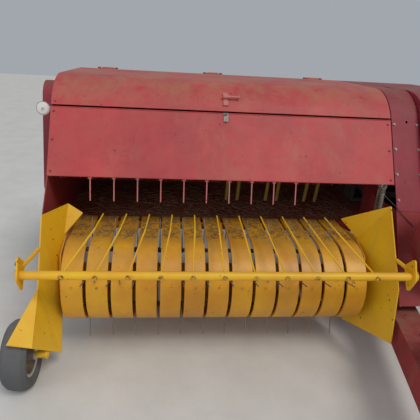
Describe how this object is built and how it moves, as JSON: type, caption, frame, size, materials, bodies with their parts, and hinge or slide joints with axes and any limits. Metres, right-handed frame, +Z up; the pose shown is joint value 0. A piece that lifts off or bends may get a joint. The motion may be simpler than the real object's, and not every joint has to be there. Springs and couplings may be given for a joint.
{
  "type": "square baler",
  "caption": "Pull-type small square baler with a banded hay pickup, windguard, feeder housing, side bale chamber, knotters, flywheel drive and swinging tongue, parked on its jack.",
  "frame": {"origin": "centre of the bounding box's base, on the ground", "axes": "+X to the machine's left side, where the bale case is; +Y to the rear, away from the hitch; +Z up"},
  "size_m": [3, 5.7316, 1.51],
  "materials": {
    "red_paint": "faded, dusty",
    "yellow_paint": "scuffed",
    "bare_steel": "dull, lightly rusted",
    "cast_metal": "rough",
    "tyre_rubber": "matte",
    "black_guard": "matte",
    "white_face": "matte"
  },
  "bodies": {
    "chassis": {"bale_case": "red_paint", "plunger": "cast_metal", "case_front_cover": "red_paint", "gearbox_cover": "red_paint", "front_frame": "red_paint", "gearbox": "cast_metal", "feeder_box": "red_paint", "feeder_front_panel": "red_paint", "hang_rods": "red_paint", "feeder_fork": "yellow_paint", "drive_guard": "red_paint", "reflector": "white_face", "axle": "red_paint", "knotter_frame": "red_paint", "knotters": "bare_steel", "needles": "red_paint", "tension_rails": "red_paint", "tension_screws": "bare_steel", "twine_box": "red_paint", "lift_spring": "bare_steel"},
    "lid": {"feeder_lid": "red_paint", "lid_latch": "red_paint"},
    "right_wheel": {"right_tyre": "tyre_rubber", "right_rim": "yellow_paint"},
    "left_wheel": {"left_tyre": "tyre_rubber", "left_rim": "yellow_paint"},
    "pickup": {"pickup_frame": "yellow_paint", "strippers": "yellow_paint", "flare_outer": "yellow_paint", "flare_inner": "yellow_paint", "guard_arms": "yellow_paint", "gauge_bracket": "yellow_paint"},
    "windguard": {"windguard_tube": "yellow_paint", "windguard_rods": "yellow_paint"},
    "reel": {"reel_shaft": "bare_steel", "reel_tines": "bare_steel"},
    "gauge_wheel": {"gauge_tyre": "tyre_rubber", "gauge_rim": "bare_steel"},
    "flywheel": {"flywheel": "red_paint"},
    "tongue": {"tongue": "red_paint", "jack": "bare_steel", "driveline": "black_guard"},
    "measuring_wheel": {"meter_wheel": "bare_steel"},
    "chute": {"bale_chute": "red_paint"},
    "twine_lid": {"twine_lid": "red_paint"}
  },
  "joints": [
    {"name": "lid_hinge", "type": "hinge", "parent": "chassis", "child": "lid", "pos_m": [-0.291, 0.75977, 1.496], "axis": [-1, 0, 0], "range_deg": [0, 60]},
    {"name": "right_wheel_spin", "type": "hinge", "parent": "chassis", "child": "right_wheel", "pos_m": [-1.405, 0.72577, 0.355], "axis": [1, 0, 0], "continuous": true},
    {"name": "left_wheel_spin", "type": "hinge", "parent": "chassis", "child": "left_wheel", "pos_m": [1.405, 0.72577, 0.355], "axis": [1, 0, 0], "continuous": true},
    {"name": "pickup_lift", "type": "hinge", "parent": "chassis", "child": "pickup", "pos_m": [-0.34, -0.07423, 0.64], "axis": [-1, 0, 0], "range_deg": [0, 15]},
    {"name": "windguard_tilt", "type": "hinge", "parent": "pickup", "child": "windguard", "pos_m": [-0.34, -0.78123, 0.672], "axis": [1, 0, 0], "range_deg": [0, 12]},
    {"name": "reel_spin", "type": "hinge", "parent": "pickup", "child": "reel", "pos_m": [-0.34, -0.40423, 0.455], "axis": [1, 0, 0], "continuous": true},
    {"name": "gauge_wheel_spin", "type": "hinge", "parent": "pickup", "child": "gauge_wheel", "pos_m": [-1.332, -0.70223, 0.175], "axis": [1, 0, 0], "continuous": true},
    {"name": "flywheel_spin", "type": "hinge", "parent": "chassis", "child": "flywheel", "pos_m": [0.96, -0.63423, 0.8], "axis": [0, 1, 0], "continuous": true},
    {"name": "tongue_swing", "type": "hinge", "parent": "chassis", "child": "tongue", "pos_m": [0.9, 0.15577, 0.275], "axis": [0, 0, 1], "range_deg": [0, 25]},
    {"name": "measuring_wheel_spin", "type": "hinge", "parent": "chassis", "child": "measuring_wheel", "pos_m": [0.96, 1.59577, 1.149], "axis": [1, 0, 0], "continuous": true},
    {"name": "chute_hinge", "type": "hinge", "parent": "chassis", "child": "chute", "pos_m": [0.96, 2.33377, 0.64], "axis": [1, 0, 0], "range_deg": [0, 90]},
    {"name": "twine_lid_hinge", "type": "hinge", "parent": "chassis", "child": "twine_lid", "pos_m": [1.298, 1.52577, 1.086], "axis": [0, -1, 0], "range_deg": [0, 100]}
  ]
}
